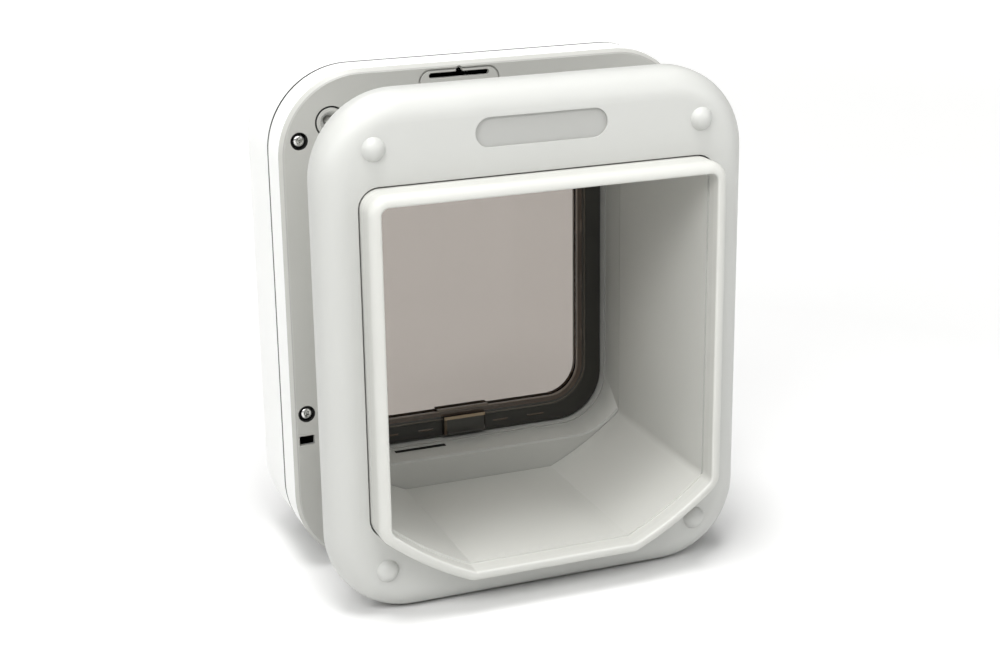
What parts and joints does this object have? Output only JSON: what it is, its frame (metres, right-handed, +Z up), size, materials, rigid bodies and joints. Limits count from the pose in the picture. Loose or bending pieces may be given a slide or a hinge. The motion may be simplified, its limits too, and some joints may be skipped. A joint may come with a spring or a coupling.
{
  "type": "cat flap",
  "caption": "Microchip-reading cat flap for a door: an outer frame with a deep entry tunnel, and a housing with a smoked flap that swings both ways and can be locked each way.",
  "frame": {"origin": "centre of the pattern of the fixing screws, on the door's outer face, which is the plane of the outer frame's open back", "axes": "+X to the right seen from outside, +Y through the door into the house, +Z up"},
  "size_m": [0.2, 0.147, 0.236],
  "materials": {
    "black": "black plastic",
    "board": "circuit board",
    "button": "soft grey plastic",
    "cell": "cell sleeve",
    "contact": "sprung contact plate",
    "copper": "wound copper wire",
    "flap_brown": "smoked gloss plastic",
    "grey": "satin moulded plastic",
    "lens": "clear red lens",
    "magnet": "plated magnet",
    "pane": "smoked clear plastic",
    "seal": "soft dark seal",
    "steel": "bright steel",
    "white": "satin moulded plastic"
  },
  "bodies": {
    "housing": {"outer_frame": "white", "entry_tunnel": "white", "housing_back": "grey", "housing_cover": "white", "flap_surround": "grey", "sill_magnet": "magnet", "latch_solenoid": "steel", "circuit_board": "board", "status_lens": "lens", "reader_coil": "copper", "batteries": "cell", "battery_contacts": "contact", "battery_tray": "black", "fixing_screws": "steel", "screw_caps": "white", "housing_screws": "steel"},
    "flap": {"flap_frame": "flap_brown", "flap_pane": "pane", "flap_seal": "seal", "flap_magnet": "magnet", "hinge_pins": "steel"},
    "lock": {"exit_lock_disc": "white", "entry_lock_disc": "white", "lock_shaft": "white", "lock_knob": "grey"},
    "latch": {"latch_bolt": "white"},
    "battery_lid": {"battery_cover": "white"},
    "learn_key": {"learn_button": "button"},
    "mode_key": {"mode_button": "button"}
  },
  "joints": [
    {"name": "flap_swing", "type": "hinge", "parent": "housing", "child": "flap", "pos_m": [0, 0.094, 0.06], "axis": [1, 0, 0], "range_deg": [-82, 82]},
    {"name": "lock_turn", "type": "hinge", "parent": "housing", "child": "lock", "pos_m": [-0.0257, 0.09, -0.0956], "axis": [0, 1, 0], "range_deg": [0, 270]},
    {"name": "latch_lift", "type": "slide", "parent": "housing", "child": "latch", "axis": [0, 0, 1], "range_m": [0, 0.006]},
    {"name": "lid_lift", "type": "slide", "parent": "housing", "child": "battery_lid", "axis": [0, 0, 1], "range_m": [0, 0.02]},
    {"name": "learn_press", "type": "slide", "parent": "housing", "child": "learn_key", "axis": [0, -1, 0], "range_m": [0, 0.0012], "stiffness_N_per_m": 300, "springref_m": -0.0008},
    {"name": "mode_press", "type": "slide", "parent": "housing", "child": "mode_key", "axis": [0, -1, 0], "range_m": [0, 0.0012], "stiffness_N_per_m": 300, "springref_m": -0.0008}
  ]
}
